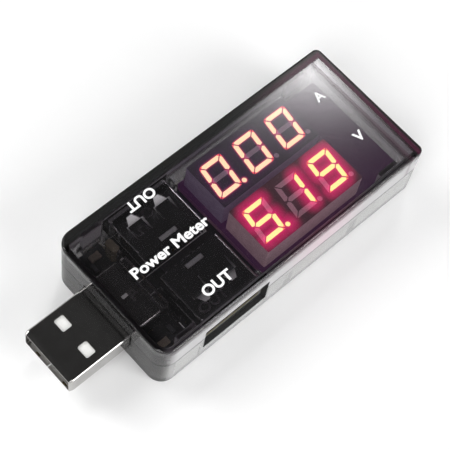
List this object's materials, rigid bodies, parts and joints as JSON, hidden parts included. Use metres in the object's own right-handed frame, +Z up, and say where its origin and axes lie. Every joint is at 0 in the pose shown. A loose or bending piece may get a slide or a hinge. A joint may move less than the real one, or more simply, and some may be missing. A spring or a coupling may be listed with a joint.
{
  "type": "usb power meter",
  "caption": "In-line USB power meter in a clear snap-together case, with a plug at one end, sockets on both sides and twin red numeric displays for current and voltage.",
  "frame": {"origin": "under the middle of the whole object, plug included, on the surface it rests on", "axes": "+X from the plug to the display end, +Y towards the current display's side, +Z up through the displays"},
  "size_m": [0.075, 0.028, 0.014],
  "materials": {
    "smoked_cover": "smoked clear, polished",
    "clear_case": "water clear with a grey tint, polished",
    "circuit_board": "dark solder resist",
    "display_board": "dark solder resist",
    "black_plastic": "moulded",
    "plated_steel": "nickel plated sheet, fine rolled grain",
    "gold_contact": "gold flashed",
    "tinned_pin": "tinned",
    "white_plastic": "moulded",
    "display_housing": "moulded, dark face",
    "lit_segment": "glowing",
    "dark_segment": "milky",
    "clear_resin": "cast",
    "resistor_body": "fired glaze",
    "ceramic_body": "ceramic",
    "dipped_resin": "dipped",
    "solder": "bright solder"
  },
  "bodies": {
    "root": {"upper_cover": "smoked_cover", "lower_case": "clear_case", "main_board": "circuit_board", "display_board": "display_board", "header_body": "black_plastic", "header_pins": "tinned_pin", "plug_shell": "plated_steel", "plug_insulator": "white_plastic", "plug_contacts": "gold_contact", "chip_capacitors": "ceramic_body", "chip_resistors": "resistor_body", "controller_chip": "black_plastic", "controller_leads": "tinned_pin", "current_display_dark_segments": "dark_segment", "current_display_housing": "display_housing", "current_display_lit_segments": "lit_segment", "current_display_pins": "tinned_pin", "current_display_potting": "clear_resin", "far_socket_contacts": "gold_contact", "far_socket_insulator": "white_plastic", "far_socket_shell": "plated_steel", "near_socket_contacts": "gold_contact", "near_socket_insulator": "white_plastic", "near_socket_shell": "plated_steel", "shunt_resistor": "resistor_body", "solder_joints": "solder", "standing_capacitor": "dipped_resin", "voltage_display_dark_segments": "dark_segment", "voltage_display_housing": "display_housing", "voltage_display_lit_segments": "lit_segment", "voltage_display_pins": "tinned_pin", "voltage_display_potting": "clear_resin", "voltage_regulator": "black_plastic"}
  },
  "joints": []
}
